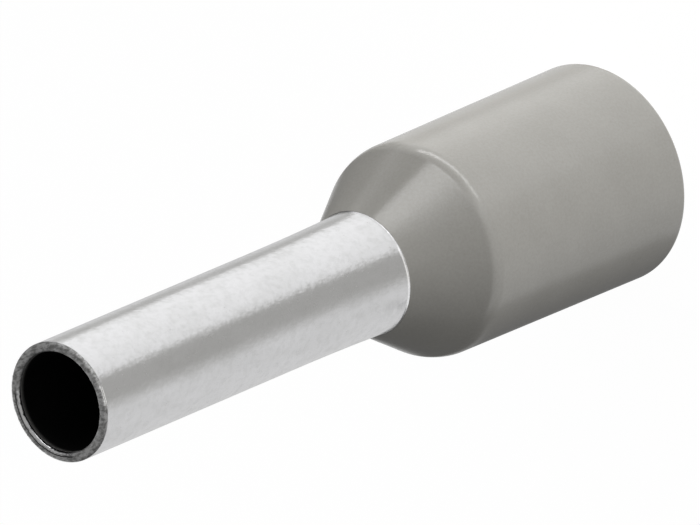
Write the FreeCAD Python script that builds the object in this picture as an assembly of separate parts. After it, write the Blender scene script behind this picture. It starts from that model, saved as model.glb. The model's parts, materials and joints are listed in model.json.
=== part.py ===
# An insulated wire ferrule: a thin tinned copper sleeve crimped over the stripped end of a
# stranded wire, with a moulded plastic collar that takes the wire's insulation.
# The ferrule stands on the open rim of its collar. +Z runs up the sleeve to its tip, and the
# origin is at the centre of the rim that it stands on. All sizes are in millimetres.
import FreeCAD, Part
import math
import os

# Sleeve, one drawn copper tube
SLEEVE_OUTER_R = 1.60          # outside radius of the straight tube
SLEEVE_WALL = 0.26             # wall of the tube, kept round the bend and along the funnel
SLEEVE_REACH = 12.00           # bare tube from its tip to the mouth of the collar
TIP_OUTER_ROUND = 0.08         # outer edge of the cut tip, rolled over by the cut
TIP_BEVEL = 0.05               # bevel that the cut leaves on the inner edge of the tip
FLARE_LENGTH = 3.50            # length of the slow flare ahead of the mouth of the collar
FLARE_RISE = 0.055             # growth of the radius over that flare
FUNNEL_BEND_R = 0.40           # bend from the neck to the funnel, on the collar side
FUNNEL_RIM_GAP = 0.03          # gap along the seat, from the funnel's rim to the bore's corner round

# Collar, one moulded plastic piece
COLLAR_LENGTH = 9.70           # from the mouth at the sleeve to the open rim
LIP_WALL = 0.03                # feather edge of the plastic round the sleeve
SHOULDER_LENGTH = 2.12         # length of the shoulder cone, to the corner under its round
SHOULDER_WALL = 0.40           # wall of the shoulder cone, square to its face
SHOULDER_ROUND = 0.90          # round between the shoulder cone and the barrel
BARREL_BORE_R = 2.45           # bore that takes the insulation of the wire
BARREL_FRONT_WALL = 0.44       # wall of the barrel at the shoulder
BARREL_RIM_WALL = 0.51         # wall of the barrel at the open rim, thicker by the draft outside
BORE_CORNER_ROUND = 0.50       # round between that bore and the seat of the funnel
RIM_OUTER_ROUND = 0.14         # outer edge of the open rim
RIM_INNER_ROUND = 0.15         # lead-in on the inner edge of the open rim

# Two points nearer than this are one point
SAME_POINT = 1e-9

# Heights above the open rim
MOUTH_Z = COLLAR_LENGTH
TIP_Z = COLLAR_LENGTH + SLEEVE_REACH
FLARE_Z = MOUTH_Z + FLARE_LENGTH
SHOULDER_Z = MOUTH_Z - SHOULDER_LENGTH

# The slow flare is one arc that starts tangent to the straight tube
FLARE_ARC_R = (FLARE_LENGTH ** 2 + FLARE_RISE ** 2) / (2 * FLARE_RISE)
NECK_R = SLEEVE_OUTER_R + FLARE_RISE
NECK_SLOPE = math.asin(FLARE_LENGTH / FLARE_ARC_R)

# The drafted outside of the barrel
BARREL_FRONT_R = BARREL_BORE_R + BARREL_FRONT_WALL
BARREL_RIM_R = BARREL_BORE_R + BARREL_RIM_WALL

# The shoulder cone, and the seat of the funnel at one wall inside it
LIP_R = NECK_R + LIP_WALL
SHOULDER_SLOPE = math.atan2(BARREL_FRONT_R - LIP_R, SHOULDER_LENGTH)
SEAT_MOUTH_R = LIP_R - SHOULDER_WALL / math.cos(SHOULDER_SLOPE)


def point(radius, height):
    """A point of a half profile, in the XZ plane."""
    return FreeCAD.Vector(radius, 0, height)


def along(start, slope, distance):
    """The point that lies a distance down a line which opens outward by the slope."""
    return start + point(distance * math.sin(slope), -distance * math.cos(slope))


def square_to(start, slope, distance):
    """The point that lies a distance inward from a line of that slope, square to it."""
    return start + point(-distance * math.cos(slope), -distance * math.sin(slope))


def corner(start, start_slope, end, end_slope):
    """Where a line through the start and a line through the end meet."""
    run = point(math.sin(start_slope), -math.cos(start_slope))
    other = point(math.sin(end_slope), -math.cos(end_slope))
    gap = end - start
    share = (gap.x * other.z - gap.z * other.x) / (run.x * other.z - run.z * other.x)
    return start + run * share


class Profile:
    """A closed half profile of lines and arcs, revolved about the axis of the ferrule."""

    def __init__(self, start):
        self.start = start
        self.here = start
        self.edges = []

    def line(self, end):
        """Draws a straight edge on to the end."""
        if end.distanceToPoint(self.here) > SAME_POINT:
            self.edges.append(Part.LineSegment(self.here, end).toShape())
        self.here = end

    def arc(self, middle, end):
        """Draws an arc through the middle point on to the end."""
        self.edges.append(Part.Arc(self.here, middle, end).toShape())
        self.here = end

    def round_corner(self, tip, end, radius):
        """Draws a line to a corner and an arc round it, towards the end."""
        back = (self.here - tip).normalize()
        ahead = (end - tip).normalize()
        half = back.getAngle(ahead) / 2
        reach = radius / math.tan(half)
        centre = tip + (back + ahead).normalize() * (radius / math.sin(half))
        self.line(tip + back * reach)
        self.arc(centre + (tip - centre).normalize() * radius, tip + ahead * reach)

    def revolve(self):
        """Closes the profile and turns it through a full circle."""
        self.line(self.start)
        face = Part.Face(Part.Wire(self.edges))
        return face.revolve(FreeCAD.Vector(0, 0, 0), FreeCAD.Vector(0, 0, 1), 360)


def flare_point(share, inset):
    """A point of the slow flare's arc, at a share of its turn, the inset inside the tube."""
    turn = NECK_SLOPE * share
    centre = point(SLEEVE_OUTER_R + FLARE_ARC_R, FLARE_Z)
    reach = FLARE_ARC_R + inset
    return centre - point(reach * math.cos(turn), reach * math.sin(turn))


def seat_line_start():
    """Where the seat of the funnel would meet the plane of the mouth."""
    return point(SEAT_MOUTH_R, MOUTH_Z)


def neck_corner():
    """Where the line of the neck meets the seat of the funnel."""
    return corner(point(NECK_R, MOUTH_Z), NECK_SLOPE, seat_line_start(), SHOULDER_SLOPE)


def bore_corner():
    """Where the seat of the funnel meets the bore of the barrel, under the round."""
    return corner(seat_line_start(), SHOULDER_SLOPE, point(BARREL_BORE_R, 0), 0)


def funnel_rim():
    """The outer corner of the funnel's rim, on its seat, short of the bore's corner round."""
    round_reach = BORE_CORNER_ROUND * math.tan(SHOULDER_SLOPE / 2)
    return along(bore_corner(), SHOULDER_SLOPE, -round_reach - FUNNEL_RIM_GAP)


def crimp_sleeve():
    """The tube: cut tip, straight barrel, slow flare, bend and funnel, all of one wall."""
    bore_r = SLEEVE_OUTER_R - SLEEVE_WALL
    rim = funnel_rim()
    inner_rim = square_to(rim, SHOULDER_SLOPE, SLEEVE_WALL)
    neck = flare_point(1, 0)
    inner_neck = flare_point(1, SLEEVE_WALL)
    inner_corner = corner(inner_neck, NECK_SLOPE, inner_rim, SHOULDER_SLOPE)

    outline = Profile(point(bore_r + TIP_BEVEL, TIP_Z))
    outline.round_corner(point(SLEEVE_OUTER_R, TIP_Z), point(SLEEVE_OUTER_R, FLARE_Z),
                         TIP_OUTER_ROUND)
    outline.line(point(SLEEVE_OUTER_R, FLARE_Z))
    outline.arc(flare_point(0.5, 0), neck)
    outline.round_corner(neck_corner(), rim, FUNNEL_BEND_R)
    outline.line(rim)
    outline.line(inner_rim)
    outline.round_corner(inner_corner, inner_neck, FUNNEL_BEND_R + SLEEVE_WALL)
    outline.line(inner_neck)
    outline.arc(flare_point(0.5, SLEEVE_WALL), point(bore_r, FLARE_Z))
    outline.line(point(bore_r, TIP_Z - TIP_BEVEL))
    return outline.revolve()


def insulating_collar():
    """The collar: lip, shoulder cone, drafted barrel, open rim, bore and funnel seat."""
    shoulder = point(BARREL_FRONT_R, SHOULDER_Z)
    outer_rim = point(BARREL_RIM_R, 0)
    inner_rim = point(BARREL_BORE_R, 0)
    neck = flare_point(1, 0)

    outline = Profile(point(LIP_R, MOUTH_Z))
    outline.round_corner(shoulder, outer_rim, SHOULDER_ROUND)
    outline.round_corner(outer_rim, inner_rim, RIM_OUTER_ROUND)
    outline.round_corner(inner_rim, bore_corner(), RIM_INNER_ROUND)
    outline.round_corner(bore_corner(), seat_line_start(), BORE_CORNER_ROUND)
    outline.round_corner(neck_corner(), neck, FUNNEL_BEND_R)
    outline.line(neck)
    return outline.revolve()


def main():
    """Builds each piece and writes it to its own file."""
    pieces = {
        "crimp_sleeve": crimp_sleeve(),
        "insulating_collar": insulating_collar(),
    }
    os.makedirs("parts", exist_ok=True)
    for name, shape in pieces.items():
        solid = shape.Solids[0]
        print(name, "valid", solid.isValid(), "volume", round(solid.Volume, 4))
        solid.exportStep(f"parts/{name}.step")


main()
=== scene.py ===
"""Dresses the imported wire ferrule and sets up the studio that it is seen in.

Both pieces are modelled in millimetres, ring by ring about the Z axis, and brought to
metres when they are finished. The collar stands on the floor and the sleeve points up.
"""
import json
import logging
import math
from dataclasses import dataclass, field
from enum import Enum
from typing import Any, Callable

import bmesh
import bpy
from mathutils import Matrix, Vector


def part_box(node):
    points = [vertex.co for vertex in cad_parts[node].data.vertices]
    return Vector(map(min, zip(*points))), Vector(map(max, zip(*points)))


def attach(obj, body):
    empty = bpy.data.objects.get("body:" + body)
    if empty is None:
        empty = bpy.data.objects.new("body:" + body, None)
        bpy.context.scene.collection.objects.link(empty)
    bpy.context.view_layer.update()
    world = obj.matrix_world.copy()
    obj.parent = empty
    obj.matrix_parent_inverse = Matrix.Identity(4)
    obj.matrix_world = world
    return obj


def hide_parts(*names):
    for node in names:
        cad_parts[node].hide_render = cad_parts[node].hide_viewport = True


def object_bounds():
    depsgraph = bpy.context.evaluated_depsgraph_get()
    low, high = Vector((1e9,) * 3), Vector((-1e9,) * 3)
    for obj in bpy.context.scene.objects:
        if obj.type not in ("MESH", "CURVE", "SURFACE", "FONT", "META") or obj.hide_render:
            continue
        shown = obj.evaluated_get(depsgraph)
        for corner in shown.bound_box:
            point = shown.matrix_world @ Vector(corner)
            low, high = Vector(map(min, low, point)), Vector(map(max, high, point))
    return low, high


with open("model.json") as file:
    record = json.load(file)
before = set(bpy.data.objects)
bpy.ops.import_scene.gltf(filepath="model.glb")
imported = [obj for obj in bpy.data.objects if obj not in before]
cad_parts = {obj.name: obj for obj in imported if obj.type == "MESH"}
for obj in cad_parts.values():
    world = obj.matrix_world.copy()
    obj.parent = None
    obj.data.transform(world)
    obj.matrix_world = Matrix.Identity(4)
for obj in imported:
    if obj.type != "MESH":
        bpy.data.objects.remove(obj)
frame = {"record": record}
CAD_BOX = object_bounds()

LOG = logging.getLogger("ferrule")

MM = 0.001              # one millimetre in metres
FACETS = 256            # facets round a turned piece
ROUND_STEPS = 8         # faces across an ordinary round
EDGE_ANGLE = 38.0       # edges sharper than this stay crisp, in degrees
SAME_PLACE = 0.002      # two places nearer than this are one, in millimetres

Numbers = tuple[float, ...]


class Signal:
    """A number socket of a shader, which adds its own Math nodes when it is reckoned with."""

    def __init__(self, graph: "Graph", socket: bpy.types.NodeSocket) -> None:
        """Keeps the socket and the graph that it belongs to.

        Args:
            graph: The graph that new Math nodes are added to.
            socket: The output socket that carries the value.
        """
        self.graph = graph
        self.socket = socket

    def _math(self, operation: str, first: Any, second: Any) -> "Signal":
        """Adds one Math node for the two operands."""
        return self.graph.add("ShaderNodeMath", {"operation": operation}, {0: first, 1: second})

    def __add__(self, other: Any) -> "Signal":
        """The sum."""
        return self._math("ADD", self, other)

    def __radd__(self, other: Any) -> "Signal":
        """The sum, with the number first."""
        return self._math("ADD", other, self)

    def __sub__(self, other: Any) -> "Signal":
        """The difference."""
        return self._math("SUBTRACT", self, other)

    def __rsub__(self, other: Any) -> "Signal":
        """The difference, with the number first."""
        return self._math("SUBTRACT", other, self)

    def __mul__(self, other: Any) -> "Signal":
        """The product."""
        return self._math("MULTIPLY", self, other)

    def __rmul__(self, other: Any) -> "Signal":
        """The product, with the number first."""
        return self._math("MULTIPLY", other, self)

    def at_least(self, other: Any) -> "Signal":
        """The larger of the two."""
        return self._math("MAXIMUM", self, other)

    def ramp(self, low: float, high: float) -> "Signal":
        """A smooth rise from 0 at the low value to 1 at the high one.

        Args:
            low: The value that gives 0. It may be above the high one, for a fall.
            high: The value that gives 1.

        Returns:
            The eased value.
        """
        start, end = min(low, high), max(low, high)
        eased = self.graph.add(
            "ShaderNodeMapRange",
            {"interpolation_type": "SMOOTHSTEP"},
            {"Value": self, "From Min": start, "From Max": end},
        )
        return eased if low < high else 1 - eased


@dataclass(frozen=True)
class Band:
    """A range of values with soft ends."""

    rise: Numbers           # where it sets in, and where it is full
    fall: Numbers           # where it is still full, and where it has ended

    def of(self, value: Signal) -> Signal:
        """1 inside the range and 0 outside it."""
        return value.ramp(*self.rise) * (1 - value.ramp(*self.fall))


class Graph:
    """The node tree of one material or of the world."""

    def __init__(self, tree: bpy.types.NodeTree) -> None:
        """Empties the tree.

        Args:
            tree: The node tree to build in.
        """
        self.tree = tree
        tree.nodes.clear()

    def add(self, kind: str, settings: dict[str, Any] | None = None,
            inputs: dict[Any, Any] | None = None, output: Any = 0) -> Signal:
        """Adds one node, sets it and links it.

        Args:
            kind: The type name of the node.
            settings: Its properties, which are set before its sockets.
            inputs: The value or the link of each of its sockets, by identifier, name or place.
            output: The output that is wanted, by identifier, name or place.

        Returns:
            The wanted output.
        """
        node = self.tree.nodes.new(kind)
        for name, value in (settings or {}).items():
            setattr(node, name, value)
        for name, value in (inputs or {}).items():
            socket = self._socket(node.inputs, name)
            if isinstance(value, Signal):
                self.tree.links.new(value.socket, socket)
            else:
                socket.default_value = value
        if not len(node.outputs):
            return Signal(self, node.inputs[0])
        return Signal(self, self._socket(node.outputs, output))

    @staticmethod
    def _socket(sockets: Any, name: Any) -> bpy.types.NodeSocket:
        """Finds a socket.

        Args:
            sockets: The inputs or the outputs of a node.
            name: The place of the socket, its identifier or else its name.

        Returns:
            The socket.
        """
        if isinstance(name, int):
            return sockets[name]
        for socket in sockets:
            if socket.identifier == name:
                return socket
        return sockets[name]

    def blend(self, low: Any, high: Any, share: Any) -> Signal:
        """Mixes two colours by a share.

        Args:
            low: The colour at a share of 0.
            high: The colour at a share of 1.
            share: How much of the high colour there is.

        Returns:
            The mixed colour.
        """
        return self.add(
            "ShaderNodeMix",
            {"data_type": "RGBA"},
            {"Factor_Float": share, "A_Color": low, "B_Color": high},
            "Result_Color",
        )

    def millimetres(self, stretch: Numbers = (1.0, 1.0, 1.0)) -> Signal:
        """The object's own coordinates in millimetres.

        Args:
            stretch: A factor for each axis. A small one draws a pattern out along it.

        Returns:
            The coordinates.
        """
        place = self.add("ShaderNodeTexCoord", output="Object")
        scale = tuple(share / MM for share in stretch)
        return self.add("ShaderNodeVectorMath", {"operation": "MULTIPLY"}, {0: place, 1: scale})

    def noise(self, place: Signal, scale: float, detail: float = 2.0,
              roughness: float = 0.5) -> Signal:
        """A noise pattern.

        Args:
            place: The coordinates that it is laid on.
            scale: Grains in one unit of length.
            detail: Octaves of finer grain.
            roughness: Strength of the finer grain.

        Returns:
            The pattern, about 0.5.
        """
        values = {"Vector": place, "Scale": scale, "Detail": detail, "Roughness": roughness}
        return self.add("ShaderNodeTexNoise", None, values, "Fac")

    def bump(self, height: Signal, strength: float, distance: float) -> Signal:
        """Turns a height pattern into a normal.

        Args:
            height: The height pattern.
            strength: Share of the full effect.
            distance: Height in metres of a pattern value of 1.

        Returns:
            The normal.
        """
        values = {"Height": height, "Strength": strength, "Distance": distance}
        return self.add("ShaderNodeBump", None, values, "Normal")


def grey(level: float) -> Numbers:
    """A neutral colour of that level."""
    return (level, level, level, 1.0)


@dataclass(frozen=True)
class TinPlate:
    """Bright tin on a drawn copper sleeve: satin, finely flecked, dull where it was cut, with
    shade painted in the bore and behind the rolled edge.
    """

    tip_height: float                               # height of the cut tip, in millimetres
    mouth_height: float                             # height at which the collar takes over
    bore_radius: float                              # inside radius of the straight tube
    bright: Numbers = (0.885, 0.885, 0.895, 1.0)
    worn: Numbers = (0.780, 0.782, 0.782, 1.0)
    cut: Numbers = (0.530, 0.530, 0.530, 1.0)
    scored: Numbers = (0.250, 0.250, 0.246, 1.0)
    rolled: Numbers = (0.400, 0.400, 0.404, 1.0)
    # painted crease shade: a dark line behind the rolled edge, where the shape has no groove
    crease_shade: Numbers = (0.060, 0.060, 0.060, 1.0)
    # painted shade inside the tube, behind the tip and further in
    bore_shade_near_tip: Numbers = (0.140, 0.138, 0.132, 1.0)
    bore_shade: Numbers = (0.010, 0.010, 0.010, 1.0)
    roughness: float = 0.16
    cut_roughness: float = 0.50
    bore_shade_roughness: float = 0.70
    relief_strength: float = 0.35
    relief_height: float = 0.016                    # of the mottling, in millimetres
    raggedness: float = 0.05                        # of the painted crease shade behind the rolled edge
    burr_side: Numbers = (-0.416, 0.909, 0.0)       # where the cut rolled the inner edge over
    burr_reach: Numbers = (0.52, 0.68)              # its ends, in shares of the bore's radius
    nick: Numbers = (-0.28, -1.57)                  # where the outer edge is burnished
    nick_reach: Numbers = (0.32, 0.20)              # how far that reaches, in millimetres
    crease_shade_band: Band = Band((0.070, 0.085), (0.110, 0.130))    # out from the bore

    def dress(self) -> bpy.types.Material:
        """Makes the material.

        Returns:
            The material, ready to be put on the sleeve.
        """
        material = bpy.data.materials.new("tin plate")
        material.use_nodes = True
        graph = Graph(material.node_tree)
        place = graph.millimetres()
        wall, depth, ahead = self._place(graph, place)

        # Flecks in the plating, and faint lines that the drawing left along the tube
        flecks = graph.noise(place, 4.5, 4.0, 0.60)
        specks = graph.noise(place, 11.0, 2.0, 0.6)
        pebbles = graph.noise(graph.millimetres((1.4, 1.4, 1.0)), 5.0, 1.0, 0.4)
        drawn = graph.noise(graph.millimetres((1.0, 1.0, 0.06)), 7.0, 3.0, 0.6)
        clouds = graph.noise(graph.millimetres((1.0, 1.0, 0.4)), 1.6, 3.0, 0.55)
        pits = specks.ramp(0.66, 0.74)

        # The cut face of the tip and its two edges, of which the inner one is rolled over on
        # one side. The wall is measured out from the bore and the depth down from the tip
        outer_edge = wall.ramp(0.14, 0.17)
        inner_edge = wall.ramp(0.09, 0.07)
        burr = graph.add("ShaderNodeVectorMath", {"operation": "DOT_PRODUCT"},
                         {0: place, 1: self.burr_side}, "Value")
        burr = burr.ramp(*(share * self.bore_radius for share in self.burr_reach))
        nick = graph.add("ShaderNodeVectorMath", {"operation": "DISTANCE"},
                         {0: place, 1: (*self.nick, self.tip_height)}, "Value")
        nick = nick.ramp(*self.nick_reach)
        cut = depth.ramp(0.026, 0.018)
        cut = cut.at_least(outer_edge * (1 - nick) * depth.ramp(0.085, 0.065))
        cut = cut.at_least(inner_edge * depth.ramp(0.12, 0.09))
        rolled = burr * inner_edge
        cut = cut * (1 - rolled)
        # Painted crease shade: a dark line between the rolled edge and the cut face, on the
        # rolled side
        crease_shade = burr * self.crease_shade_band.of(wall + (flecks - 0.5) * self.raggedness)

        # Painted shade inside the tube: a dark matt grey behind the tip that turns near black
        # further in
        depths = depth.ramp(0.10, 0.26)
        bore_shade = wall.ramp(0.06, 0.03) * depth.ramp(0.08, 0.14) * ahead.ramp(-0.6, 0.2)

        worn = (flecks.ramp(0.40, 0.70) * 0.5 + pits * 0.5 + clouds.ramp(0.35, 0.65) * 0.4)
        colour = graph.blend(self.bright, self.worn, worn)
        rough_face = graph.noise(graph.millimetres((1.0, 0.45, 1.0)), 12.0, 4.0, 0.7)
        face = graph.blend(self.cut, self.scored, rough_face.ramp(0.42, 0.60))
        colour = graph.blend(colour, face, cut)
        colour = graph.blend(colour, self.rolled, rolled)
        colour = graph.blend(colour, self.crease_shade, crease_shade)
        colour = graph.blend(colour, graph.blend(self.bore_shade_near_tip, self.bore_shade, depths), bore_shade)

        roughness = self.roughness + flecks.ramp(0.35, 0.75) * 0.10 + pits * 0.1
        roughness = roughness * (1 - cut) + cut * self.cut_roughness
        roughness = roughness * (1 - bore_shade) + bore_shade * self.bore_shade_roughness

        relief = (flecks * 0.5 + pebbles * 0.7 + specks * 0.35 - pits * 0.15 + drawn * 0.2
                  + cut * rough_face * 4.0)
        values = {
            "Base Color": colour,
            "Metallic": 1 - bore_shade * (1 - depths),
            "Roughness": roughness,
            "Normal": graph.bump(relief, self.relief_strength, self.relief_height * MM),
        }
        shader = graph.add("ShaderNodeBsdfPrincipled", None, values)
        graph.add("ShaderNodeOutputMaterial", None, {"Surface": shader})
        return material

    def _place(self, graph: Graph, place: Signal) -> tuple[Signal, Signal, Signal]:
        """Measures where a point of the tube lies.

        Args:
            graph: The graph of the material.
            place: The object's own coordinates.

        Returns:
            How far it is out from the bore, down from the tip and up from the mouth of the
            collar, all in millimetres.
        """
        flat = graph.add("ShaderNodeVectorMath", {"operation": "MULTIPLY"},
                         {0: place, 1: (1.0, 1.0, 0.0)})
        radius = graph.add("ShaderNodeVectorMath", {"operation": "LENGTH"}, {0: flat}, "Value")
        height = graph.add("ShaderNodeSeparateXYZ", None, {0: place}, "Z")
        return radius - self.bore_radius, self.tip_height - height, height - self.mouth_height


@dataclass(frozen=True)
class MouldedPlastic:
    """Warm grey moulded plastic with a satin skin and a fine grain."""

    colour: Numbers = (0.372, 0.362, 0.338, 1.0)
    shade: Numbers = (0.318, 0.310, 0.286, 1.0)
    roughness: float = 0.14
    refraction: float = 1.49
    relief_strength: float = 0.25
    relief_height: float = 0.010    # of the grain, in millimetres

    def dress(self) -> bpy.types.Material:
        """Makes the material.

        Returns:
            The material, ready to be put on the collar.
        """
        material = bpy.data.materials.new("moulded plastic")
        material.use_nodes = True
        graph = Graph(material.node_tree)
        place = graph.millimetres()
        grain = graph.noise(place, 14.0, 3.0, 0.6)
        clouds = graph.noise(place, 0.7, 2.0, 0.5)
        specks = graph.noise(place, 9.0, 2.0, 0.7).ramp(0.62, 0.74)
        tone = grain.ramp(0.3, 0.7) * 0.45 + clouds.ramp(0.3, 0.7) * 0.3 + specks * 0.35
        colour = graph.blend(self.colour, self.shade, tone)
        roughness = self.roughness + grain.ramp(0.3, 0.7) * 0.07 + specks * 0.06
        values = {
            "Base Color": colour,
            "Roughness": roughness,
            "IOR": self.refraction,
            "Normal": graph.bump(grain * 0.7 + clouds * 0.6, self.relief_strength,
                                 self.relief_height * MM),
        }
        shader = graph.add("ShaderNodeBsdfPrincipled", None, values)
        graph.add("ShaderNodeOutputMaterial", None, {"Surface": shader})
        return material


@dataclass(frozen=True)
class Ring:
    """One ring of a turned piece, in millimetres."""

    radius: float
    height: float

    def toward(self, other: "Ring", share: float) -> "Ring":
        """The ring that lies a share of the way to another one."""
        return Ring(self.radius + (other.radius - self.radius) * share,
                    self.height + (other.height - self.height) * share)


class Turning:
    """A piece that is worked ring by ring about the Z axis."""

    def __init__(self, name: str, first: Ring) -> None:
        """Adds the first ring at its size and place.

        Args:
            name: The name of the piece.
            first: The ring that the piece starts from.
        """
        bpy.ops.object.select_all(action="DESELECT")
        bpy.ops.mesh.primitive_circle_add(vertices=FACETS, radius=first.radius,
                                          location=(0, 0, first.height))
        self.piece = bpy.context.object
        self.piece.name = name
        self.piece.data.name = name
        bpy.ops.object.transform_apply(location=True, rotation=True, scale=True)
        self.here = first
        bpy.ops.object.mode_set(mode="EDIT")
        bpy.ops.mesh.select_mode(type="EDGE")
        bpy.ops.mesh.select_all(action="SELECT")

    def extrude_to(self, ring: Ring) -> None:
        """Extrudes the last ring, moves it and sizes it.

        Args:
            ring: The ring to reach.
        """
        bpy.ops.mesh.extrude_region_move(
            TRANSFORM_OT_translate={"value": (0, 0, ring.height - self.here.height)})
        share = ring.radius / self.here.radius
        bpy.ops.transform.resize(value=(share, share, 1),
                                 center_override=(0, 0, ring.height))
        self.here = ring

    def extrude_along(self, start: Ring, end: Ring, steps: int) -> None:
        """Extrudes evenly spaced rings from the start to the end."""
        for step in range(1, steps + 1):
            self.extrude_to(start.toward(end, step / steps))

    def select(self, wanted: Callable[[float, float], bool]) -> None:
        """Selects the edges that lie wholly where the test says.

        Args:
            wanted: The test, of a radius and a height.
        """
        bpy.ops.mesh.select_all(action="DESELECT")
        shell = bmesh.from_edit_mesh(self.piece.data)
        for edge in shell.edges:
            places = [(math.hypot(v.co.x, v.co.y), v.co.z) for v in edge.verts]
            edge.select_set(all(wanted(radius, height) for radius, height in places))
        bmesh.update_edit_mesh(self.piece.data)

    def select_ring(self, ring: Ring) -> None:
        """Selects the edges of one ring."""
        self.select(lambda radius, height: abs(radius - ring.radius) < SAME_PLACE
                    and abs(height - ring.height) < SAME_PLACE)

    def close(self, ring: Ring) -> None:
        """Bridges the last ring to another one, so that the section is closed.

        Args:
            ring: The ring to join up with.
        """
        last = self.here
        self.select(lambda radius, height: any(
            abs(radius - end.radius) < SAME_PLACE and abs(height - end.height) < SAME_PLACE
            for end in (last, ring)))
        bpy.ops.mesh.bridge_edge_loops()

    def tidy(self) -> None:
        """Merges doubles and turns every face outwards."""
        bpy.ops.mesh.select_all(action="SELECT")
        bpy.ops.mesh.remove_doubles(threshold=SAME_PLACE / 10)
        bpy.ops.mesh.normals_make_consistent(inside=False)

    def round_ring(self, ring: Ring, radius: float, turn: float,
                   steps: int = ROUND_STEPS) -> None:
        """Rounds the corner at one ring.

        Args:
            ring: The ring of the corner.
            radius: The radius of the round.
            turn: The angle that the section turns by there.
            steps: The faces across the round.
        """
        self.select_ring(ring)
        bpy.ops.mesh.bevel(offset=radius * math.tan(turn / 2), offset_type="OFFSET",
                           segments=steps, profile=0.5, affect="EDGES", clamp_overlap=False)

    def cut_rings(self, heights: Numbers) -> None:
        """Cuts the piece level, so that long faces end beside a round.

        Args:
            heights: The heights of the cuts.
        """
        for height in heights:
            bpy.ops.mesh.select_all(action="SELECT")
            bpy.ops.mesh.bisect(plane_co=(0, 0, height), plane_no=(0, 0, 1))

    def thicken(self, wall: float) -> None:
        """Gives the skin its wall, inwards.

        Args:
            wall: The thickness of the wall.
        """
        bpy.ops.object.mode_set(mode="OBJECT")
        modifier = self.piece.modifiers.new("wall", "SOLIDIFY")
        modifier.thickness = wall
        modifier.offset = -1
        modifier.use_even_offset = True
        modifier.use_quality_normals = True
        bpy.ops.object.modifier_apply(modifier=modifier.name)
        bpy.ops.object.mode_set(mode="EDIT")

    def finish(self) -> bpy.types.Object:
        """Brings the piece to metres and shades it smooth.

        Returns:
            The finished object.
        """
        bpy.ops.mesh.select_all(action="SELECT")
        bpy.ops.transform.resize(value=(MM, MM, MM), center_override=(0, 0, 0))
        bpy.ops.object.mode_set(mode="OBJECT")
        bpy.ops.object.shade_smooth_by_angle(angle=math.radians(EDGE_ANGLE))
        return self.piece


@dataclass
class SeatLine:
    """The cone on which the funnel of the sleeve sits inside the collar, in millimetres."""

    slope: float                    # opening of the cone, in radians from the axis
    mouth_radius: float             # its radius in the plane of the mouth
    mouth_height: float             # height of that plane

    def at_radius(self, radius: float) -> Ring:
        """The ring of the cone that has that radius."""
        return Ring(radius, self.mouth_height
                    - (radius - self.mouth_radius) / math.tan(self.slope))

    def meet(self, other_radius: float, other_slope: float) -> Ring:
        """The ring where a line from the plane of the mouth meets the cone."""
        drop = ((other_radius - self.mouth_radius)
                / (math.tan(self.slope) - math.tan(other_slope)))
        return Ring(other_radius + drop * math.tan(other_slope), self.mouth_height - drop)


@dataclass
class CollarSizes:
    """Sizes of the moulded collar, in millimetres."""

    length: float
    bore_radius: float
    lip_wall: float = 0.03
    shoulder_length: float = 2.12
    shoulder_wall: float = 0.40
    shoulder_round: float = 0.90
    shoulder_steps: int = 12        # faces across that round
    front_radius: float = 2.89
    rim_radius: float = 2.96
    rim_outer_round: float = 0.14
    rim_inner_round: float = 0.15
    corner_round: float = 0.50
    neck_round: float = 0.40
    cut_margin: float = 0.04        # from a round to the cut that ends the long faces


@dataclass
class SleeveSizes:
    """Sizes of the drawn sleeve, in millimetres."""

    tip_height: float
    outer_radius: float
    bore_radius: float
    flare_length: float = 3.50
    flare_rise: float = 0.055
    tip_outer_round: float = 0.08
    tip_outer_steps: int = 6        # faces across that round
    tip_inner_round: float = 0.08
    tip_inner_steps: int = 4
    tip_cuts: Numbers = (0.14, 0.30)    # depths at which the long faces end below the tip
    tip_roughness: float = 0.006    # how far the cut is torn
    torn_face: float = 0.03         # how deep the torn face and the torn edge reach
    torn_edge: float = 0.10
    torn_edge_width: float = 0.02
    rim_gap: float = 0.03

    @property
    def wall(self) -> float:
        """The wall of the tube."""
        return self.outer_radius - self.bore_radius

    @property
    def neck_radius(self) -> float:
        """The outside radius at the mouth of the collar."""
        return self.outer_radius + self.flare_rise

    @property
    def neck_slope(self) -> float:
        """The slope that the flare has reached there."""
        return math.asin(2 * self.flare_length * self.flare_rise
                         / (self.flare_length ** 2 + self.flare_rise ** 2))


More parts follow.
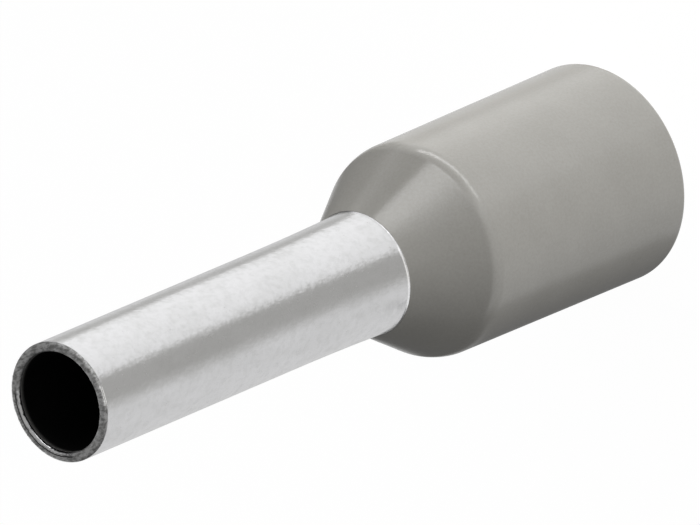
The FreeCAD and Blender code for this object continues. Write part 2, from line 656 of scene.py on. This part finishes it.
@dataclass
class InsulatingCollar:
    """The collar: feather lip, conical shoulder, drafted barrel, open rim, bore and seat."""

    sizes: CollarSizes
    sleeve: SleeveSizes
    finish: MouldedPlastic = field(default_factory=MouldedPlastic)

    @property
    def lip_radius(self) -> float:
        """The outside radius of the feather lip."""
        return self.sleeve.neck_radius + self.sizes.lip_wall

    @property
    def shoulder_slope(self) -> float:
        """The slope of the shoulder cone, in radians from the axis."""
        return math.atan2(self.sizes.front_radius - self.lip_radius,
                          self.sizes.shoulder_length)

    @property
    def seat(self) -> SeatLine:
        """The cone inside, at one wall from the shoulder."""
        inset = self.sizes.shoulder_wall / math.cos(self.shoulder_slope)
        return SeatLine(self.shoulder_slope, self.lip_radius - inset, self.sizes.length)

    def build(self) -> bpy.types.Object:
        """Models the collar.

        Returns:
            The finished object.
        """
        sizes = self.sizes
        lip = Ring(self.lip_radius, sizes.length)
        shoulder = Ring(sizes.front_radius, sizes.length - sizes.shoulder_length)
        outer_rim = Ring(sizes.rim_radius, 0.0)
        inner_rim = Ring(sizes.bore_radius, 0.0)
        bore_corner = self.seat.at_radius(sizes.bore_radius)
        neck_corner = self.seat.meet(self.sleeve.neck_radius, self.sleeve.neck_slope)
        neck = Ring(self.sleeve.neck_radius, sizes.length)
        draft = math.atan2(outer_rim.radius - shoulder.radius, shoulder.height)
        quarter = math.pi / 2

        turning = Turning("collar", lip)
        turning.extrude_along(lip, shoulder, steps=6)
        turning.extrude_along(shoulder, outer_rim, steps=10)
        turning.extrude_along(outer_rim, inner_rim, steps=1)
        turning.extrude_along(inner_rim, bore_corner, steps=8)
        turning.extrude_along(bore_corner, neck_corner, steps=4)
        turning.extrude_along(neck_corner, neck, steps=2)
        turning.close(lip)
        turning.tidy()
        turning.round_ring(shoulder, sizes.shoulder_round, self.shoulder_slope - draft,
                           sizes.shoulder_steps)
        turning.round_ring(outer_rim, sizes.rim_outer_round, quarter)
        turning.round_ring(inner_rim, sizes.rim_inner_round, quarter)
        turning.round_ring(bore_corner, sizes.corner_round, self.seat.slope)
        turning.round_ring(neck_corner, sizes.neck_round,
                           self.seat.slope - self.sleeve.neck_slope)
        beside = sizes.cut_margin
        reach = sizes.shoulder_round * math.tan((self.shoulder_slope - draft) / 2)
        turning.cut_rings((
            shoulder.height - reach - beside,
            shoulder.height + reach * math.cos(self.shoulder_slope) + beside,
            sizes.rim_outer_round + beside,
            sizes.rim_inner_round + beside,
        ))
        return turning.finish()

    def place(self) -> bpy.types.Object:
        """Builds the collar, dresses it and puts it in the CAD frame.

        Returns:
            The collar's object.
        """
        piece = self.build()
        piece.data.materials.clear()
        piece.data.materials.append(self.finish.dress())
        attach(piece, "root")
        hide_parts("insulating_collar")
        return piece


@dataclass
class CrimpSleeve:
    """The sleeve: cut tip, straight tube, slow flare, bend and funnel, all of one wall."""

    sizes: SleeveSizes
    collar: InsulatingCollar
    bead_height: float = 0.09       # height of the bright swell of metal at the mouth
    bead_rise: float = 0.022        # how far that swell stands out at the mouth
    bead_steps: int = 6             # faces along it

    @property
    def mouth_height(self) -> float:
        """The height of the mouth of the collar."""
        return self.collar.sizes.length

    def flare_ring(self, share: float) -> Ring:
        """A ring of the slow flare.

        Args:
            share: Its place, from 0 where the flare starts to 1 at the mouth.

        Returns:
            The ring.
        """
        sizes = self.sizes
        rise = sizes.flare_rise * share ** 2
        return Ring(sizes.outer_radius + rise,
                    self.mouth_height + sizes.flare_length * (1 - share))

    def build(self) -> bpy.types.Object:
        """Models the sleeve.

        Returns:
            The finished object.
        """
        sizes = self.sizes
        seat = self.collar.seat
        tip = Ring(sizes.outer_radius, sizes.tip_height - sizes.tip_roughness)
        flare_start = self.flare_ring(0.0)
        neck_corner = seat.meet(sizes.neck_radius, sizes.neck_slope)
        bore_corner = seat.at_radius(self.collar.sizes.bore_radius)
        gap = self.collar.sizes.corner_round * math.tan(seat.slope / 2) + sizes.rim_gap
        rim = seat.at_radius(bore_corner.radius - gap * math.sin(seat.slope))

        turning = Turning("sleeve", tip)
        turning.extrude_along(tip, flare_start, steps=10)
        flare_steps = 10
        for step in range(1, flare_steps + 1):
            turning.extrude_to(self.flare_ring(step / flare_steps))
        neck = turning.here
        turning.extrude_along(neck, neck_corner, steps=2)
        turning.extrude_along(neck_corner, rim, steps=3)
        turning.tidy()
        turning.round_ring(neck_corner, self.collar.sizes.neck_round,
                           seat.slope - sizes.neck_slope)
        turning.thicken(sizes.wall)
        self._shape_tip(turning, tip)
        self._shape_bead(turning)
        return turning.finish()

    def _shape_tip(self, turning: Turning, tip: Ring) -> None:
        """Rounds the edges of the cut and leaves its face a little torn.

        Args:
            turning: The sleeve at work.
            tip: The ring of the tip's outer edge.
        """
        sizes = self.sizes
        quarter = math.pi / 2
        bore_edge = Ring(sizes.bore_radius, tip.height)
        turning.cut_rings(tuple(tip.height - depth for depth in sizes.tip_cuts))
        turning.round_ring(tip, sizes.tip_outer_round, quarter, sizes.tip_outer_steps)
        turning.round_ring(bore_edge, sizes.tip_inner_round, quarter, sizes.tip_inner_steps)
        turning.select(lambda radius, height: height > tip.height - sizes.torn_face)
        bpy.ops.transform.vertex_random(offset=sizes.tip_roughness, uniform=1.0, seed=7)
        turning.select(lambda radius, height: radius < sizes.bore_radius + sizes.torn_edge_width
                       and height > tip.height - sizes.torn_edge)
        bpy.ops.transform.vertex_random(offset=sizes.tip_roughness, uniform=1.0, seed=3)

    def _shape_bead(self, turning: Turning) -> None:
        """Draws the outer skin out into a small swell just ahead of the mouth.

        Args:
            turning: The sleeve at work.
        """
        steps = self.bead_steps
        mouth = self.mouth_height
        heights = [mouth + self.bead_height * step / steps for step in range(1, steps + 1)]
        turning.cut_rings(tuple(heights))
        outside = self.sizes.outer_radius - self.sizes.wall / 2
        for step, height in enumerate([mouth] + heights[:-1]):
            rise = self.bead_rise * (1 - step / steps) ** 2
            turning.select(lambda radius, place, at=height: radius > outside
                           and abs(place - at) < SAME_PLACE)
            share = 1 + rise / self.sizes.neck_radius
            bpy.ops.transform.resize(value=(share, share, 1), center_override=(0, 0, height))

    def place(self) -> bpy.types.Object:
        """Builds the sleeve, dresses it and puts it in the CAD frame.

        Returns:
            The sleeve's object.
        """
        piece = self.build()
        finish = TinPlate(self.sizes.tip_height, self.mouth_height, self.sizes.bore_radius)
        piece.data.materials.clear()
        piece.data.materials.append(finish.dress())
        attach(piece, "root")
        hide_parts("crimp_sleeve")
        return piece


class Side(Enum):
    """Directions of the studio, seen from the ferrule."""

    LAMP = (0.307, -0.849, -0.430)
    FILL = (0.666, 0.343, -0.662)
    OVERHEAD = (0.858, -0.513, 0.0)
    STRIP = (0.736, -0.497, -0.460)
    TENT = (0.9205, -0.3907, 0.0)
    TABLE = (0.737, -0.676, 0.0)
    BACK = (0.940, 0.342, 0.0)
    FRONT = (0.450, -0.750, 0.420)
    WINDOW = (-0.602, -0.799, 0.0)

    @property
    def vector(self) -> Vector:
        """The direction as a unit vector."""
        return Vector(self.value).normalized()


@dataclass(frozen=True)
class SoftLamp:
    """One soft lamp that looks at the ferrule."""

    name: str
    side: Side
    width: float            # of its face, in metres
    height: float
    level: float            # brightness of its face, where 1 is white
    gloss: bool = False     # whether it gives the plastic its highlight, or lights matt colour
    distance: float = 0.5   # from the ferrule, in metres

    def place(self, aim: Vector, plastic: bpy.types.Collection) -> bpy.types.Object:
        """Adds the lamp.

        Args:
            aim: The point that the lamp looks at.
            plastic: The pieces that a lamp for highlights shines on.

        Returns:
            The lamp's object.
        """
        bpy.ops.object.select_all(action="DESELECT")
        bpy.ops.object.light_add(type="AREA", location=aim + self.side.vector * self.distance)
        lamp = bpy.context.object
        lamp.name = self.name
        lamp.rotation_euler = self.side.vector.to_track_quat("Z", "Y").to_euler()
        lamp.data.shape = "RECTANGLE"
        lamp.data.size = self.width
        lamp.data.size_y = self.height
        lamp.data.energy = self.level * math.pi * self.width * self.height
        lamp.visible_camera = False
        lamp.visible_diffuse = not self.gloss
        lamp.visible_glossy = self.gloss
        if self.gloss:
            lamp.light_linking.receiver_collection = plastic
        return lamp


@dataclass(frozen=True)
class Card:
    """A dark card with soft edges that glows dimly, close to the side of the collar that is away
    from the key.

    It stands in for shade there, and darkens the barrel's far side in shade and in reflection.
    """

    name: str
    near: float                     # where it starts along its plane, in millimetres
    far: float                      # where it ends
    bottom: float                   # its lower and upper ends, in millimetres
    top: float
    level: float                    # brightness of its face, where 1 is white
    clearance: float = 3.15         # distance of its plane from the axis, in millimetres
    cover_across: Band = Band((-0.50, -0.28), (0.12, 0.50))     # in shares of its width
    cover_up: Band = Band((-0.50, -0.38), (0.32, 0.50))         # in shares of its height

    def place(self) -> bpy.types.Object:
        """Adds the card, unseen by the camera.

        Returns:
            The card's object.
        """
        overhead = Side.OVERHEAD.vector
        along = Vector((0, 0, 1)).cross(overhead)
        centre = (overhead * -self.clearance - along * ((self.near + self.far) / 2)
                  + Vector((0, 0, (self.bottom + self.top) / 2)))
        bpy.ops.object.select_all(action="DESELECT")
        bpy.ops.mesh.primitive_plane_add(size=1, location=centre * MM)
        card = bpy.context.object
        card.name = self.name
        card.scale = ((self.far - self.near) * MM, (self.top - self.bottom) * MM, 1)
        turned = Matrix((along, Vector((0, 0, 1)), along.cross(Vector((0, 0, 1)))))
        card.rotation_euler = turned.transposed().to_euler()
        card.visible_camera = False
        card.data.materials.append(self._material())
        return card

    def _material(self) -> bpy.types.Material:
        """Makes a dim grey glow that fades out towards the edges of the card.

        Returns:
            The material.
        """
        material = bpy.data.materials.new(self.name)
        material.use_nodes = True
        graph = Graph(material.node_tree)
        place = graph.add("ShaderNodeTexCoord", output="Object")
        across = graph.add("ShaderNodeSeparateXYZ", None, {0: place}, "X")
        height = graph.add("ShaderNodeSeparateXYZ", None, {0: place}, "Y")
        cover = self.cover_across.of(across) * self.cover_up.of(height)
        clear = graph.add("ShaderNodeBsdfTransparent")
        face = graph.add("ShaderNodeEmission", None, {"Color": grey(self.level)})
        surface = graph.add("ShaderNodeMixShader", None, {0: cover, 1: clear, 2: face})
        graph.add("ShaderNodeOutputMaterial", None, {"Surface": surface})
        return material


@dataclass
class Studio:
    """A white floor, a pale tent in a dark room, three soft lamps and one dimly glowing card
    that shades the barrel.

    The bands and reaches are parts of a unit direction: its height, how far it leads across to
    +X or away to +Y, or how far it leans to one side of the studio.
    """

    floor_width: float = 1.2
    floor_colour: float = 0.80
    floor_share: float = 0.90       # how much of the floor is its own light
    floor_glow: float = 1.08        # that light, as the camera sees it
    tent_level: float = 0.812
    tent_rise: float = 0.20         # how much brighter the tent is towards its back
    horizon_level: float = 0.385
    horizon_tint: Numbers = (1.000, 0.990, 0.960, 1.0)
    table_level: float = 0.655
    horizon_reach: Numbers = (-0.22, 0.21)
    inside_reach: Numbers = (0.36, 0.48)        # where the tent takes over from the horizon
    room_level: float = 0.13        # the dark room above the tent
    room_reach: Numbers = (-0.55, -0.43)
    back_dip: float = 0.11          # how much lower the tent ends towards its back
    back_reach: Numbers = (0.25, 0.55)
    ceiling_level: float = 0.20
    ceiling_reach: Numbers = (0.34, 0.44)
    window_level: float = 0.80
    window_reach: Numbers = (0.50, 0.75)
    wall_level: float = 0.70
    wall_reach: Numbers = (0.45, 0.70)
    eye_band: Band = Band((-0.50, -0.44), (-0.10, -0.02))   # height of the window and the wall
    panel_level: float = 0.85
    panel_reach: Numbers = (0.79, 0.88)
    panel_band: Band = Band((-0.64, -0.54), (0.40, 0.60))
    key_level: float = 4.6
    key_band: Band = Band((-0.05, 0.02), (0.20, 0.27))
    key_across: Numbers = (-0.05, 0.30)
    key_away: Band = Band((-1.05, -0.60), (-0.34, -0.22))
    front_level: float = 0.80
    front_reach: Numbers = (0.05, 0.35)
    front_height: Numbers = (0.26, 0.36)
    soft_level: float = 0.416       # the light on matt surfaces, and how it leans
    soft_lean: Numbers = (0.158, -0.179, -0.194)
    lamps: tuple[SoftLamp, ...] = (
        SoftLamp("key lamp", Side.LAMP, 0.36, 0.36, 3.62),
        SoftLamp("fill lamp", Side.FILL, 0.36, 0.36, 6.90),
        SoftLamp("strip lamp", Side.STRIP, 0.67, 0.062, 5.4, gloss=True),
    )
    # a dimly glowing card that stands in for shade beside the barrel
    card: Card = Card("barrel card", -0.7, 4.4, -3.0, 7.5, 0.18)

    def place(self, aim: Vector, collar: bpy.types.Object) -> None:
        """Sets up the floor, the world, the card and the lamps.

        Args:
            aim: The point that the lamps look at.
            collar: The plastic piece, which takes the highlight of the strip lamp.
        """
        self._floor()
        self._tent()
        self.card.place()
        plastic = bpy.data.collections.new("plastic")
        plastic.objects.link(collar)
        for lamp in self.lamps:
            lamp.place(aim, plastic)

    def _floor(self) -> None:
        """Adds a white floor that keeps the ferrule's soft shadow and only the camera sees."""
        bpy.ops.object.select_all(action="DESELECT")
        bpy.ops.mesh.primitive_plane_add(size=self.floor_width, location=(0, 0, 0))
        floor = bpy.context.object
        floor.name = "floor"
        floor.visible_diffuse = False
        floor.visible_glossy = False
        floor.visible_shadow = False
        material = bpy.data.materials.new("white floor")
        material.use_nodes = True
        graph = Graph(material.node_tree)
        camera = graph.add("ShaderNodeLightPath", output="Is Camera Ray")
        paper = graph.add("ShaderNodeBsdfDiffuse", None, {"Color": grey(self.floor_colour)})
        glow = graph.add("ShaderNodeEmission", None,
                         {"Color": grey(1.0), "Strength": self.floor_glow})
        lit = graph.add("ShaderNodeMixShader", None,
                        {0: camera * self.floor_share, 1: paper, 2: glow})
        clear = graph.add("ShaderNodeBsdfTransparent")
        below = graph.add("ShaderNodeNewGeometry", output="Backfacing")
        surface = graph.add("ShaderNodeMixShader", None, {0: below, 1: lit, 2: clear})
        graph.add("ShaderNodeOutputMaterial", None, {"Surface": surface})
        floor.data.materials.append(material)

    def _tent(self) -> None:
        """Makes a world that is white to the camera and a tent in a dark room to the rest."""
        world = bpy.data.worlds.new("tent")
        bpy.context.scene.world = world
        world.use_nodes = True
        graph = Graph(world.node_tree)
        way = graph.add("ShaderNodeTexCoord", output="Generated")
        across = graph.add("ShaderNodeSeparateXYZ", None, {0: way}, "X")
        away = graph.add("ShaderNodeSeparateXYZ", None, {0: way}, "Y")
        height = graph.add("ShaderNodeSeparateXYZ", None, {0: way}, "Z")

        # What polished surfaces see low round the ferrule: table, horizon and tent
        above = self._share(graph, way, Side.TABLE)
        horizon = above.ramp(*self.horizon_reach)
        low = self.table_level + horizon * (self.horizon_level - self.table_level)
        tent = self.tent_level + self._share(graph, way, Side.BACK) * self.tent_rise
        inside = self._share(graph, way, Side.TENT).ramp(*self.inside_reach)
        low = low + inside * (tent - low)

        # Higher up they see a dark room with a window, a wall, a panel behind, a key light, a
        # pale front and a ceiling
        over = height + away.ramp(*self.back_reach) * self.back_dip
        mirrored = low + over.ramp(*self.room_reach) * (self.room_level - low)
        eye_level = self.eye_band.of(height)
        window = eye_level * self._share(graph, way, Side.WINDOW).ramp(*self.window_reach)
        wall = eye_level * self._share(graph, way, Side.OVERHEAD).ramp(*self.wall_reach)
        panel = self.panel_band.of(height) * away.ramp(*self.panel_reach)
        key = (self.key_band.of(height) * across.ramp(*self.key_across)
               * self.key_away.of(away))
        mirrored = (mirrored + window * self.window_level + wall * self.wall_level
                    + panel * self.panel_level + key * self.key_level)
        ceiling = height.ramp(*self.ceiling_reach)
        mirrored = mirrored + ceiling * (self.ceiling_level - mirrored)
        front = (self._share(graph, way, Side.FRONT).ramp(*self.front_reach)
                 * height.ramp(*self.front_height))
        mirrored = mirrored + front * (self.front_level - mirrored)

        # Matt surfaces see one soft light, stronger from below and from the front right
        lean = graph.add("ShaderNodeVectorMath", {"operation": "DOT_PRODUCT"},
                         {0: way, 1: self.soft_lean}, "Value")
        soft = (lean + self.soft_level).at_least(0.0)

        glossy = graph.add("ShaderNodeLightPath", output="Is Glossy Ray")
        camera = graph.add("ShaderNodeLightPath", output="Is Camera Ray")
        level = soft + glossy * (mirrored - soft)
        strength = camera + (1 - camera) * level
        tint = graph.blend(grey(1.0), self.horizon_tint, glossy * horizon * (1 - inside))
        sky = graph.add("ShaderNodeBackground", None, {"Color": tint, "Strength": strength})
        graph.add("ShaderNodeOutputWorld", None, {"Surface": sky})

    @staticmethod
    def _share(graph: Graph, way: Signal, side: Side) -> Signal:
        """How far a direction leans to one side of the studio."""
        return graph.add("ShaderNodeVectorMath", {"operation": "DOT_PRODUCT"},
                         {0: way, 1: tuple(side.vector)}, "Value")


@dataclass
class LongLensCamera:
    """The camera at the photograph's angle, set by where the tip's centre falls in the frame."""

    lens: float = 1200.0            # focal length, in millimetres
    sensor: float = 36.0            # sensor width, in millimetres
    frame_width: float = 700.0      # of the picture, in pixels
    frame_height: float = 525.0
    elevation: float = 45.883       # above the floor, in degrees
    roll: float = -113.089          # about the line of sight, in degrees
    tip_across: float = 58.098      # where the centre of the tip falls, in pixels
    tip_down: float = 402.714
    scale: float = 39.354           # pixels in a millimetre at the tip

    def place(self, tip: Vector) -> bpy.types.Object:
        """Adds the camera.

        Args:
            tip: The centre of the cut tip.

        Returns:
            The camera's object.
        """
        rise = math.radians(self.elevation)
        back = Vector((0, -math.cos(rise), math.sin(rise)))
        level_up = Vector((0, math.sin(rise), math.cos(rise)))
        level_right = level_up.cross(back)
        turn = math.radians(self.roll)
        right = level_right * math.cos(turn) + level_up * math.sin(turn)
        up = level_up * math.cos(turn) - level_right * math.sin(turn)
        pixel = MM / self.scale
        across = (self.frame_width / 2 - self.tip_across) * pixel
        down = (self.tip_down - self.frame_height / 2) * pixel
        distance = self.lens / self.sensor * self.frame_width * pixel
        bpy.ops.object.select_all(action="DESELECT")
        bpy.ops.object.camera_add()
        camera = bpy.context.object
        camera.name = "camera"
        turned = Matrix((right, up, back)).transposed().to_4x4()
        place = tip + right * across + up * down + back * distance
        camera.matrix_world = Matrix.Translation(place) @ turned
        camera.data.lens = self.lens
        camera.data.sensor_width = self.sensor
        camera.data.clip_start = distance / 10
        camera.data.clip_end = distance * 10
        bpy.context.scene.camera = camera
        return camera


def mount_size(name: str, size: str) -> float:
    """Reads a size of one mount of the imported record.

    Args:
        name: The name of the mount.
        size: The name of the size.

    Returns:
        The size in millimetres.
    """
    for mount in frame["record"]["mounts"]:
        if mount["name"] == name:
            return mount["dims"][size]
    raise KeyError(name)


def main() -> None:
    """Builds the pieces, the studio and the camera in order."""
    logging.basicConfig(level=logging.INFO, format="%(name)s: %(message)s")
    bpy.context.scene.view_settings.view_transform = "Standard"
    tip_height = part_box("crimp_sleeve")[1].z / MM
    mouth_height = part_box("insulating_collar")[1].z / MM
    sleeve_sizes = SleeveSizes(tip_height, mount_size("sleeve_outside", "r_mm"),
                               mount_size("conductor_bore", "r_mm"))
    collar_sizes = CollarSizes(mouth_height, mount_size("insulation_bore", "r_mm"))
    collar = InsulatingCollar(collar_sizes, sleeve_sizes)
    sleeve = CrimpSleeve(sleeve_sizes, collar)
    pieces = [part.place() for part in (collar, sleeve)]
    for piece in pieces:
        LOG.info("%s has %d faces", piece.name, len(piece.data.polygons))
    centre = (CAD_BOX[0] + CAD_BOX[1]) / 2
    Studio().place(centre, pieces[0])
    LongLensCamera().place(Vector((0, 0, tip_height * MM)))
    LOG.info("studio and camera are set")


if __name__ == "__main__":
    main()
